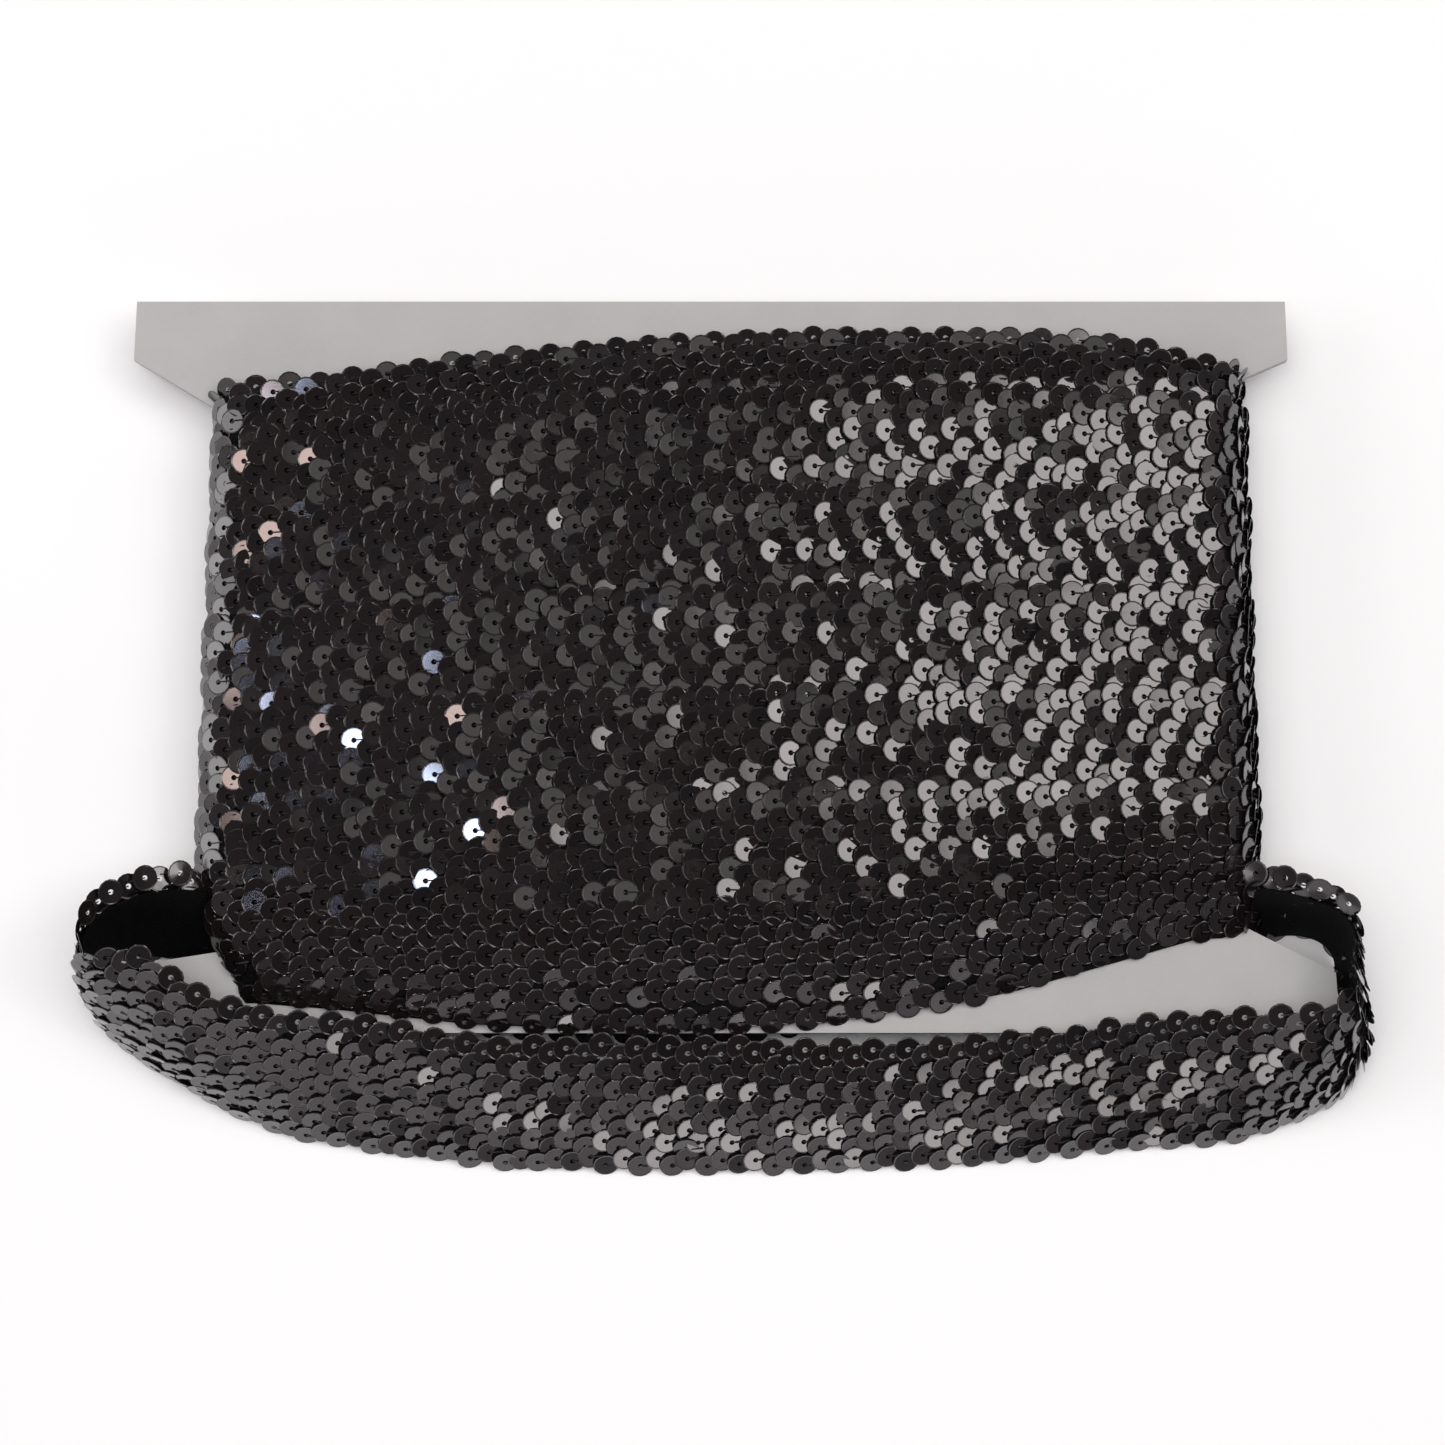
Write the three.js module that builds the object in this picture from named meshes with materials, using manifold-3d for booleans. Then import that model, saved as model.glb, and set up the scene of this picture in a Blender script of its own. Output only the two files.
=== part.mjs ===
// A sequin trim wound on a notched card, lying on its back, with its last turn slack round the card's foot.
// Millimetres. +X runs along the card's width, +Y towards its upper edge and +Z out of the wound face.
import * as THREE from "three";
import * as BufferGeometryUtils from "three/addons/utils/BufferGeometryUtils.js";
import Module from "manifold-3d";

const wasm = await Module();
wasm.setup();

// Driving dimensions: the wound form, the card, the gaps between pieces and the trim itself
const wound_thickness = 24.5;
const side_depth = 11.0;
const crown_rise = 0.6;
const side_lift = 0.6;
const card_thickness = 2.5;
const card_height = 12.0;
const fitting_gap = 0.35;
const seat_gap = 0.6;
const slant_growth = 1.2;
const weld_distance = 1e-4;
const top_drop = 7.0;
const foot_drop = 9.0;
const top_fall = 16.0;
const bottom_fall = 30.0;
const top_roundness = 2.0;
const foot_roundness = 1.5;
const trim_thickness = 2.2;
const floor_edge_z = 0.9;

// Numbers of steps that the round shapes are made of
const front_columns = 32;
const back_columns = 16;
const side_columns = 8;
const trim_spans = 4;
const steps_per_station = 6;

// The card's outline: how far each flared corner and each end of the waist reaches from the middle
const card = {
  top: { y: 103.0, left_x: -144.3, right_x: 138.6 },
  shoulder: { y: 88.2, left_x: -144.6, right_x: 138.8 },
  waist: { left_x: -115.0, right_x: 118.0 },
  waist_top: { left_y: 70.2, right_y: 79.0 },
  waist_foot: { left_y: -57.0, right_y: -48.5 },
  flare: { left_y: -60.6, right_y: -62.7, left_x: -138.4, right_x: 145.8 },
  foot: { y: -77.0, left_x: -128.0, right_x: 146.4 },
};

// The edges of the wound turns, from the upper end to the lower one: y at each of six places across the face
const seam_x = [-126, -60, 0, 60, 106, 128];
const seams = [
  [81.0, 88.2, 92.9, 93.9, 92.2, 86.2],
  [66.0, 72.6, 75.6, 77.0, 75.6, 74.0],
  [44.0, 49.0, 51.0, 52.0, 51.4, 51.0],
  [20.0, 25.0, 26.5, 27.0, 27.0, 27.0],
  [-4.0, 0.0, 2.4, 3.0, 3.0, 3.0],
  [-26.0, -23.0, -21.0, -20.5, -20.1, -20.0],
  [-47.0, -45.5, -44.0, -43.0, -42.3, -42.0],
  [-70.0, -76.2, -76.2, -70.0, -58.6, -54.0],
];

// How one turn lies on the next: its lift above the mean face, from its upper edge to its lower one
const turn_profile = [
  { along: 0.0, lift: -0.5 },
  { along: 0.07, lift: 0.6 },
  { along: 0.22, lift: 0.9 },
  { along: 0.45, lift: 0.5 },
  { along: 0.7, lift: 0.0 },
  { along: 0.9, lift: -0.4 },
];

// The wound form's sides: x of its left and right outlines at each height
const sides = [
  { y: 96, left_x: -122.0, right_x: 126.0 },
  { y: 80, left_x: -124.8, right_x: 128.4 },
  { y: 20, left_x: -125.5, right_x: 128.6 },
  { y: -40, left_x: -126.2, right_x: 129.1 },
  { y: -58, left_x: -121.0, right_x: 129.2 },
  { y: -80, left_x: -113.0, right_x: 129.2 },
];

// The slack turn, from the block's left side round the card's foot to its right side: the edge on the floor,
// the raised edge, and how far the strip bows outwards between them
const slack = [
  { floor_x: -119.5, floor_y: -63.0, raised_x: -119.5, raised_y: -42.0, raised_z: 21.0, bow: 1.0 },
  { floor_x: -126.5, floor_y: -60.2, raised_x: -126.5, raised_y: -41.6, raised_z: 24.5, bow: 1.0 },
  { floor_x: -133.0, floor_y: -58.4, raised_x: -132.6, raised_y: -42.4, raised_z: 27.0, bow: 1.0 },
  { floor_x: -140.0, floor_y: -57.6, raised_x: -139.0, raised_y: -44.9, raised_z: 29.0, bow: 1.2 },
  { floor_x: -147.0, floor_y: -58.4, raised_x: -145.6, raised_y: -49.2, raised_z: 30.0, bow: 1.4 },
  { floor_x: -151.8, floor_y: -61.8, raised_x: -148.8, raised_y: -54.9, raised_z: 30.5, bow: 1.6 },
  { floor_x: -153.0, floor_y: -67.5, raised_x: -148.2, raised_y: -59.6, raised_z: 30.5, bow: 2.0 },
  { floor_x: -149.4, floor_y: -74.6, raised_x: -143.4, raised_y: -59.6, raised_z: 29.6, bow: 2.6 },
  { floor_x: -142.0, floor_y: -81.0, raised_x: -136.4, raised_y: -58.9, raised_z: 28.4, bow: 3.6 },
  { floor_x: -125.3, floor_y: -91.2, raised_x: -124.0, raised_y: -67.2, raised_z: 26.0, bow: 4.0 },
  { floor_x: -103.5, floor_y: -100.6, raised_x: -108.0, raised_y: -72.8, raised_z: 22.2, bow: 2.4 },
  { floor_x: -81.9, floor_y: -104.4, raised_x: -84.0, raised_y: -74.4, raised_z: 20.0, bow: 1.8 },
  { floor_x: -58.0, floor_y: -107.6, raised_x: -60.0, raised_y: -79.0, raised_z: 17.8, bow: 1.4 },
  { floor_x: -29.3, floor_y: -108.7, raised_x: -30.0, raised_y: -79.4, raised_z: 16.6, bow: 1.2 },
  { floor_x: 4.2, floor_y: -109.2, raised_x: 4.0, raised_y: -79.8, raised_z: 16.6, bow: 1.2 },
  { floor_x: 42.4, floor_y: -108.0, raised_x: 42.0, raised_y: -80.2, raised_z: 16.6, bow: 1.2 },
  { floor_x: 66.3, floor_y: -106.8, raised_x: 66.0, raised_y: -78.6, raised_z: 17.4, bow: 1.2 },
  { floor_x: 88.0, floor_y: -104.6, raised_x: 88.5, raised_y: -76.2, raised_z: 18.4, bow: 1.2 },
  { floor_x: 108.0, floor_y: -103.2, raised_x: 108.0, raised_y: -73.8, raised_z: 18.8, bow: 1.4 },
  { floor_x: 123.8, floor_y: -101.6, raised_x: 122.0, raised_y: -72.9, raised_z: 20.2, bow: 2.0 },
  { floor_x: 138.4, floor_y: -96.6, raised_x: 133.6, raised_y: -73.0, raised_z: 24.0, bow: 3.0 },
  { floor_x: 149.2, floor_y: -90.4, raised_x: 141.0, raised_y: -71.4, raised_z: 27.6, bow: 2.8 },
  { floor_x: 153.4, floor_y: -82.0, raised_x: 145.6, raised_y: -69.0, raised_z: 29.6, bow: 2.6 },
  { floor_x: 150.6, floor_y: -73.4, raised_x: 147.4, raised_y: -65.2, raised_z: 30.4, bow: 2.4 },
  { floor_x: 148.2, floor_y: -65.0, raised_x: 147.8, raised_y: -60.0, raised_z: 30.6, bow: 2.2 },
  { floor_x: 147.6, floor_y: -57.8, raised_x: 147.6, raised_y: -53.6, raised_z: 30.4, bow: 1.8 },
  { floor_x: 144.6, floor_y: -54.2, raised_x: 144.8, raised_y: -49.2, raised_z: 30.2, bow: 1.2 },
  { floor_x: 138.4, floor_y: -52.4, raised_x: 138.4, raised_y: -46.2, raised_z: 29.4, bow: 1.0 },
  { floor_x: 131.0, floor_y: -53.8, raised_x: 130.6, raised_y: -42.8, raised_z: 26.0, bow: 1.0 },
  { floor_x: 123.5, floor_y: -60.7, raised_x: 123.5, raised_y: -40.7, raised_z: 21.5, bow: 1.0 },
];

// Materials
const card_paper = new THREE.MeshStandardMaterial({ color: 0xbbb9b9, roughness: 0.9, metalness: 0.0 });
const wound_sequins = new THREE.MeshStandardMaterial({ color: 0x26211f, roughness: 0.3, metalness: 0.0 });
const slack_sequins = new THREE.MeshStandardMaterial({ color: 0x2b2625, roughness: 0.3, metalness: 0.0 });

// The value of a table at a place between its rows, along a smooth curve
function smoothly(places, values, place) {
  const last = places.length - 1;
  let i = 0;
  while (i < last - 1 && (place - places[i + 1]) * (places[last] - places[0]) > 0) i += 1;
  const t = THREE.MathUtils.clamp((place - places[i]) / (places[i + 1] - places[i]), 0, 1);
  const before = values[Math.max(i - 1, 0)];
  const after = values[Math.min(i + 2, last)];
  const slope_in = (values[i + 1] - before) / 2;
  const slope_out = (after - values[i]) / 2;
  const t2 = t * t;
  const t3 = t2 * t;
  return (2 * t3 - 3 * t2 + 1) * values[i] + (t3 - 2 * t2 + t) * slope_in
    + (3 * t2 - 2 * t3) * values[i + 1] + (t3 - t2) * slope_out;
}

function straight(rows, column, y) {
  let i = 0;
  while (i < rows.length - 2 && y < rows[i + 1].y) i += 1;
  const t = THREE.MathUtils.clamp((rows[i].y - y) / (rows[i].y - rows[i + 1].y), 0, 1);
  return THREE.MathUtils.lerp(rows[i][column], rows[i + 1][column], t);
}

// A closed body from rings of points, each joined to the next, with both ends capped
function bodyFromRings(rings, cap_axes) {
  const around = rings[0].length;
  const positions = rings.flat().flatMap((p) => [p.x, p.y, p.z]);
  const index = [];
  for (let r = 0; r < rings.length - 1; r += 1) {
    for (let c = 0; c < around; c += 1) {
      const a = r * around + c;
      const b = r * around + ((c + 1) % around);
      index.push(a, b, b + around, a, b + around, a + around);
    }
  }
  for (const r of [0, rings.length - 1]) {
    const outline = rings[r].map((p) => new THREE.Vector2(p[cap_axes[0]], p[cap_axes[1]]));
    const faces = THREE.ShapeUtils.triangulateShape(outline, []);
    const follows = (i, j) => (i + 1) % around === j;
    const forward = faces.some(([i, j, k]) => follows(i, j) || follows(j, k) || follows(k, i));
    for (const face of faces) {
      const corners = face.map((c) => c + r * around);
      if (forward === (r === 0)) corners.reverse();
      index.push(...corners);
    }
  }
  const geometry = new THREE.BufferGeometry();
  geometry.setAttribute("position", new THREE.Float32BufferAttribute(positions, 3));
  geometry.setIndex(index);
  return geometry;
}

function toSolid(geometry) {
  const bare = geometry.clone();
  bare.deleteAttribute("normal");
  bare.deleteAttribute("uv");
  const merged = BufferGeometryUtils.mergeVertices(bare, weld_distance);
  return new wasm.Manifold(new wasm.Mesh({
    numProp: 3,
    vertProperties: new Float32Array(merged.attributes.position.array),
    triVerts: new Uint32Array(merged.index.array),
  }));
}

function toGeometry(solid) {
  const mesh = solid.getMesh();
  const geometry = new THREE.BufferGeometry();
  geometry.setAttribute("position", new THREE.Float32BufferAttribute(mesh.vertProperties, 3));
  geometry.setIndex([...mesh.triVerts]);
  return geometry;
}

// The card, and with some growth the slot that it needs
function cardGeometry(growth) {
  const { top, shoulder, waist, waist_top, waist_foot, flare, foot } = card;
  const notch = growth * slant_growth;
  const outline = new THREE.Shape([
    new THREE.Vector2(foot.left_x - growth, foot.y - growth),
    new THREE.Vector2(foot.right_x + growth, foot.y - growth),
    new THREE.Vector2(flare.right_x + growth, flare.right_y + notch),
    new THREE.Vector2(waist.right_x + growth, waist_foot.right_y + notch),
    new THREE.Vector2(waist.right_x + growth, waist_top.right_y - notch),
    new THREE.Vector2(shoulder.right_x + growth, shoulder.y - notch),
    new THREE.Vector2(top.right_x + growth, top.y + growth),
    new THREE.Vector2(top.left_x - growth, top.y + growth),
    new THREE.Vector2(shoulder.left_x - growth, shoulder.y - notch),
    new THREE.Vector2(waist.left_x - growth, waist_top.left_y - notch),
    new THREE.Vector2(waist.left_x - growth, waist_foot.left_y + notch),
    new THREE.Vector2(flare.left_x - growth, flare.left_y + notch),
  ]);
  const depth = card_thickness + 2 * growth;
  const geometry = new THREE.ExtrudeGeometry(outline, { depth, bevelEnabled: false });
  geometry.translate(0, 0, card_height - depth / 2);
  return geometry;
}

// The wound form: y of a point on a turn, and the height of the face there
function seamAt(turn, x) {
  return smoothly(seam_x, seams[turn], x);
}

function faceHeight(x, y, lift) {
  const from_top = seamAt(0, x) - y;
  const from_foot = y - seamAt(seams.length - 1, x);
  const lower_top = top_drop * Math.max(0, 1 - from_top / top_fall) ** top_roundness;
  const lower_foot = foot_drop * Math.max(0, 1 - from_foot / bottom_fall) ** foot_roundness;
  const across = x / seam_x.at(-1);
  return wound_thickness + crown_rise * (1 - across * across) + lift - lower_top - lower_foot;
}

function woundRing(turn, along, lift, growth) {
  const ring = [];
  const place = (share) => {
    const nominal_x = THREE.MathUtils.lerp(seam_x[0], seam_x.at(-1), share);
    const y = THREE.MathUtils.lerp(seamAt(turn, nominal_x), seamAt(turn + 1, nominal_x), along);
    return { y, left_x: straight(sides, "left_x", y), right_x: straight(sides, "right_x", y) };
  };
  const addSide = (share, sign, from, to) => {
    const { y, left_x, right_x } = place(share);
    const outer_x = (sign > 0 ? right_x : left_x) + sign * (lift * side_lift + growth);
    const inner_x = outer_x - sign * side_depth;
    const top = faceHeight(inner_x, y, lift) + growth;
    for (let i = 0; i < side_columns; i += 1) {
      const turned = THREE.MathUtils.lerp(from, to, i / side_columns) * Math.PI;
      const reach = side_depth * Math.sin(turned);
      ring.push(new THREE.Vector3(inner_x + sign * reach, y, (top / 2) * (1 - Math.cos(turned))));
    }
  };
  const addFlat = (columns, from_share, to_share, on_face) => {
    for (let i = 0; i < columns; i += 1) {
      const share = THREE.MathUtils.lerp(from_share, to_share, i / columns);
      const { y, left_x, right_x } = place(share);
      const reach = lift * side_lift + growth - side_depth;
      const x = THREE.MathUtils.lerp(left_x - reach, right_x + reach, share);
      ring.push(new THREE.Vector3(x, y, on_face ? faceHeight(x, y, lift) + growth : 0));
    }
  };
  addFlat(back_columns, 0, 1, false);
  addSide(1, 1, 0, 1);
  addFlat(front_columns, 1, 0, true);
  addSide(0, -1, 1, 0);
  return ring;
}

function woundForm(growth) {
  const rings = [];
  for (let turn = 0; turn < seams.length - 1; turn += 1) {
    for (const { along, lift } of turn_profile) rings.push(woundRing(turn, along, lift, growth));
  }
  rings.push(woundRing(seams.length - 2, 1, turn_profile[0].lift, growth));
  for (const point of rings[0]) point.y += growth;
  for (const point of rings.at(-1)) point.y -= growth;
  return toSolid(bodyFromRings(rings, ["x", "z"]));
}

function woundTrimGeometry() {
  const slot = toSolid(cardGeometry(fitting_gap));
  return toGeometry(woundForm(0).subtract(slot));
}

// The slack turn: a bowed strip from its floor edge to its raised edge, cut where it meets the wound turns
function looseTurnGeometry() {
  const floor_edge = new THREE.CatmullRomCurve3(
    slack.map((s) => new THREE.Vector3(s.floor_x, s.floor_y, floor_edge_z)), false, "centripetal");
  const raised_edge = new THREE.CatmullRomCurve3(
    slack.map((s) => new THREE.Vector3(s.raised_x, s.raised_y, s.raised_z)), false, "centripetal");
  const steps = (slack.length - 1) * steps_per_station;
  const places = slack.map((s, i) => i);
  const bows = slack.map((s) => s.bow);
  const rings = [];
  for (let i = 0; i <= steps; i += 1) {
    const floor_point = floor_edge.getPoint(i / steps);
    const raised_point = raised_edge.getPoint(i / steps);
    const along = floor_edge.getTangent(i / steps).add(raised_edge.getTangent(i / steps)).normalize();
    const across = raised_point.clone().sub(floor_point);
    const outward = along.clone().cross(across).normalize();
    const bow = smoothly(places, bows, i / steps_per_station);
    const inner = [];
    const outer = [];
    for (let span = 0; span <= trim_spans; span += 1) {
      const share = span / trim_spans;
      const bulge = bow * 4 * share * (1 - share);
      const middle = floor_point.clone().addScaledVector(across, share).addScaledVector(outward, bulge);
      inner.push(middle.clone().addScaledVector(outward, -trim_thickness / 2));
      outer.unshift(middle.clone().addScaledVector(outward, trim_thickness / 2));
    }
    const ring = [...inner, ...outer];
    for (const point of ring) point.z = Math.max(point.z, 0);
    rings.push(ring);
  }
  const strip = toSolid(bodyFromRings(rings, ["y", "z"]));
  return toGeometry(strip.subtract(woundForm(seat_gap)));
}

function named(name, geometry, material) {
  geometry.computeVertexNormals();
  const mesh = new THREE.Mesh(geometry, material);
  mesh.name = name;
  return mesh;
}

// The whole part, with the middle of its foot at the origin
const part = new THREE.Group();
part.add(named("winding_card", cardGeometry(0), card_paper));
part.add(named("wound_trim", woundTrimGeometry(), wound_sequins));
part.add(named("loose_turn", looseTurnGeometry(), slack_sequins));
const middle = new THREE.Box3().setFromObject(part).getCenter(new THREE.Vector3());
part.position.set(-middle.x, -middle.y, 0);

export default part;
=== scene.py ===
"""A black sequin trim wound on a grey card that lies on its back, with its last turn slack round the foot.

The wound turns and the slack turn are dressed with sequins on black mesh cloth, each sewn on by its thread.
Tables and sizes in this file are millimetres in the frame that the card is drawn in. Meshes are metres.
"""
import math

import bpy
import numpy as np
from bpy.props import FloatProperty, FloatVectorProperty, IntProperty, PointerProperty
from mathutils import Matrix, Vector
from mathutils.bvhtree import BVHTree


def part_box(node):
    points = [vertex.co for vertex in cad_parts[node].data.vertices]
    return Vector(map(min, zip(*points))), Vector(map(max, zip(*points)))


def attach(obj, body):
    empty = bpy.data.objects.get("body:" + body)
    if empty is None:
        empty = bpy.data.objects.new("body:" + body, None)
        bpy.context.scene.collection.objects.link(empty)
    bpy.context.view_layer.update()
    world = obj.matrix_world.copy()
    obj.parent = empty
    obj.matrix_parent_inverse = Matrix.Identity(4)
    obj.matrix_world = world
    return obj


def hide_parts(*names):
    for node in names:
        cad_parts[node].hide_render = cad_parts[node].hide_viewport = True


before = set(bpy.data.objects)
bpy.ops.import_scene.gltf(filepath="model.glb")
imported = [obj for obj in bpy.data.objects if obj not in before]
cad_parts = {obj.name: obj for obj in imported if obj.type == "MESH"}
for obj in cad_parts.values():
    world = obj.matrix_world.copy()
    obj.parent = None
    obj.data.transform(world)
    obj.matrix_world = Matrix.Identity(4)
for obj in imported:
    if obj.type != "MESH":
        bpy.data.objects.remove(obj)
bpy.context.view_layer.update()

bl_info = {
    "name": "Sequin trim on a card",
    "version": (1, 0, 0),
    "blender": (4, 5, 0),
    "location": "3D View > Sidebar > Sequin trim",
    "description": "Dresses a wound card of trim with sequins, threads and mesh cloth",
    "category": "Add Mesh",
}

MM = 0.001

# How far the card reaches to the left and down in its drawing
CARD_LEFT = -144.6
CARD_FOOT = -77.0
card_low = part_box("winding_card")[0]
DRAWING_PLACE = np.array([card_low.x / MM - CARD_LEFT, card_low.y / MM - CARD_FOOT, 0.0])

# The edges of the wound turns, from the upper end to the lower one: y at each of six places across the face
SEAM_X = [-126, -60, 0, 60, 106, 128]
SEAMS = [
    [81.0, 88.2, 92.9, 93.9, 92.2, 86.2],
    [66.0, 72.6, 75.6, 77.0, 75.6, 74.0],
    [44.0, 49.0, 51.0, 52.0, 51.4, 51.0],
    [20.0, 25.0, 26.5, 27.0, 27.0, 27.0],
    [-4.0, 0.0, 2.4, 3.0, 3.0, 3.0],
    [-26.0, -23.0, -21.0, -20.5, -20.1, -20.0],
    [-47.0, -45.5, -44.0, -43.0, -42.3, -42.0],
    [-70.0, -76.2, -76.2, -70.0, -58.6, -54.0],
]
TURNS = len(SEAMS) - 1

# The wound form's sides, from its foot to its upper end: x of its left and right outlines at each height
SIDE_Y = [-80, -58, -40, 20, 80, 96]
SIDE_LEFT = [-113.0, -121.0, -126.2, -125.5, -124.8, -122.0]
SIDE_RIGHT = [129.2, 129.2, 129.1, 128.6, 128.4, 126.0]

# The wound form's face
WOUND_THICKNESS = 24.5
CROWN_RISE = 0.6
SIDE_DEPTH = 11.0
SIDE_LIFT = 0.6
TOP_DROP = 7.0
TOP_FALL = 16.0
FOOT_DROP = 9.0
FOOT_FALL = 30.0
TOP_ROUNDNESS = 2.0
FOOT_ROUNDNESS = 1.5

# How the sequins of one turn ride over the next turn: lift at shares of the turn's width
RIDE_SHARE = [0.0, 0.2, 0.45, 0.7, 1.0, 1.15]
RIDE_LIFT = [0.75, 0.9, 0.5, 0.0, -0.5, -0.8]

# The slack turn: its edge on the floor, its raised edge, and how far it bows outwards between them
SLACK_COLUMNS = ("floor_x", "floor_y", "raised_x", "raised_y", "raised_z", "bow")
SLACK = np.array([
    (-119.5, -63.0, -119.5, -42.0, 21.0, 1.0),
    (-126.5, -60.2, -126.5, -41.6, 24.5, 1.0),
    (-133.0, -58.4, -132.6, -42.4, 27.0, 1.0),
    (-140.0, -57.6, -139.0, -44.9, 29.0, 1.2),
    (-147.0, -58.4, -145.6, -49.2, 30.0, 1.4),
    (-151.8, -61.8, -148.8, -54.9, 30.5, 1.6),
    (-153.0, -67.5, -148.2, -59.6, 30.5, 2.0),
    (-149.4, -74.6, -143.4, -59.6, 29.6, 2.6),
    (-142.0, -81.0, -136.4, -58.9, 28.4, 3.6),
    (-125.3, -91.2, -124.0, -67.2, 26.0, 4.0),
    (-103.5, -100.6, -108.0, -72.8, 22.2, 2.4),
    (-81.9, -104.4, -84.0, -74.4, 20.0, 1.8),
    (-58.0, -107.6, -60.0, -79.0, 17.8, 1.4),
    (-29.3, -108.7, -30.0, -79.4, 16.6, 1.2),
    (4.2, -109.2, 4.0, -79.8, 16.6, 1.2),
    (42.4, -108.0, 42.0, -80.2, 16.6, 1.2),
    (66.3, -106.8, 66.0, -78.6, 17.4, 1.2),
    (88.0, -104.6, 88.5, -76.2, 18.4, 1.2),
    (108.0, -103.2, 108.0, -73.8, 18.8, 1.4),
    (123.8, -101.6, 122.0, -72.9, 20.2, 2.0),
    (138.4, -96.6, 133.6, -73.0, 24.0, 3.0),
    (149.2, -90.4, 141.0, -71.4, 27.6, 2.8),
    (153.4, -82.0, 145.6, -69.0, 29.6, 2.6),
    (150.6, -73.4, 147.4, -65.2, 30.4, 2.4),
    (148.2, -65.0, 147.8, -60.0, 30.6, 2.2),
    (147.6, -57.8, 147.6, -53.6, 30.4, 1.8),
    (144.6, -54.2, 144.8, -49.2, 30.2, 1.2),
    (138.4, -52.4, 138.4, -46.2, 29.4, 1.0),
    (131.0, -53.8, 130.6, -42.8, 26.0, 1.0),
    (123.5, -60.7, 123.5, -40.7, 21.5, 1.0),
])
FLOOR_EDGE_Z = 0.9

# The card's waist, which the slot of the wound turns fits
WAIST_LEFT = -115.0
WAIST_RIGHT = 118.0

# The lights: place from the card's middle and size, both in metres, brightness, whether they show in the
# gloss, and colour
LIGHTS = [
    ("softbox_right", (0.74, 0.08, 1.0), (0.44, 0.38), 2.9, True, (1.0, 0.935, 0.93)),
    ("softbox_glow", (0.84, 0.10, 1.02), (0.56, 0.50), 1.0, True, (1.0, 0.935, 0.93)),
    ("softbox_edge", (0.42, 0.08, 1.04), (0.18, 0.44), 0.6, True, (1.0, 0.94, 0.93)),
    ("softbox_front", (0.58, -1.25, 0.46), (0.50, 0.24), 3.1, True, (1.0, 0.94, 0.93)),
    ("panel_front", (0.05, -1.2, 0.42), (1.1, 0.5), 0.5, True, (1.0, 0.92, 0.98)),
    ("panel_front_left", (-0.9, -1.1, 0.7), (0.8, 0.5), 0.7, True, (1.0, 0.93, 0.98)),
    ("panel_left", (-1.4, 0.1, 0.65), (0.9, 0.8), 2.2, True, (1.0, 0.99, 0.98)),
    ("warm_patch", (-0.16, 0.0, 1.1), (0.20, 0.24), 6.5, True, (1.0, 0.76, 0.69)),
    ("cool_spark", (-0.05, -0.12, 1.1), (0.05, 0.05), 34.0, True, (0.66, 0.74, 1.0)),
    ("cool_spark_low", (-0.10, -0.30, 1.1), (0.05, 0.05), 34.0, True, (0.66, 0.74, 1.0)),
    ("soft_fill", (0.0, 0.3, 1.7), (2.4, 2.0), 1.94, False, (0.985, 1.0, 0.985)),
]

# Shares of the slack turn's width: the edges of its cloth, which lie under the holes of the outer sequins,
# and its first and last row
CLOTH_LOWER = 0.035
CLOTH_UPPER = 0.87
FIRST_ROW = 0.94
LAST_ROW = 0.08

# The slack turn's cloth: its thickness, how far it lies inside the line of its sequins, its least height
# above the floor, and the shares of the turn's length where it starts and that it takes
CLOTH_THICKNESS = 0.45
CLOTH_DEPTH = 0.45
CLOTH_LOWEST = 0.5
CLOTH_START = 0.012
CLOTH_LENGTH = 0.975

# The wound cloth lies this far inside the wound form, but stays in place this near to the card's slot
WOUND_CLOTH_DEPTH = 1.5
SLOT_HEIGHT_MARGIN = 0.6
SLOT_END_MARGIN = 1.0

# Only near its ends does the slack turn run into the wound turns: shares of its length, and how far in the
# middle of a sequin may lie there
END_SHARES = (0.1, 0.91)
END_SINK = 0.8

# How far the slack turn's sequins lean beyond the others, in degrees at shares of its length: all of them
# along their row, and those of the first row outwards, which would take them this far out at 90 degrees
BEND_SHARE = [0.0, 0.66, 0.76, 0.88, 1.0]
BEND_LEAN = [0.0, 0.0, 13.0, 8.0, 0.0]
FLOP_SHARE = [0.0, 0.13, 0.18, 0.26, 0.76, 0.86, 0.9, 1.0]
FLOP_LEAN = [50.0, 46.0, 6.0, -5.0, -5.0, 4.0, 44.0, 50.0]
FLOP_REACH = 2.4

# How far inside the wound form's upper outline, and inside each later turn's edge, its first row is sewn,
# and how far a row may run past the next turn's edge
OUTLINE_MARGIN = 2.9
TURN_MARGIN = 1.3
TURN_OVERRUN = 1.0

# How deep in the wound form its rows lie, how high its rows lie at the back, and how far outside the line of
# the slack turn the rows of that turn lie
ROW_INSET = 0.9
BACK_ROW_Z = 0.8
SLACK_ROW_LIFT = 0.3

# The first row of all lies flatter than the falling cloth, and the last one follows the wound form's foot
OUTLINE_LEAN = 38.0
FOOT_MARGIN = 2.1
FOOT_ROW_GAP = 3.2

# How unevenly the sequins are sewn: how far off their places, the share of them that hang askew and how many
# times as far as the others, and how much a sequin is bent
SEWING_SPREAD = 0.3
ASKEW_SHARE = 0.035
ASKEW_TIMES = 3.5
BEND_SPREAD = 0.009
SEED = 26

# The two sequins of a zigzag lean apart across the row, and by this share of it along the row
PAIR_FORWARD = 0.6

# The cloth's waves along a row, and the height of all together that counts as one
WAVE_LENGTHS = (160.0, 74.0, 33.0)
WAVE_PEAK = 1.6

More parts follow.
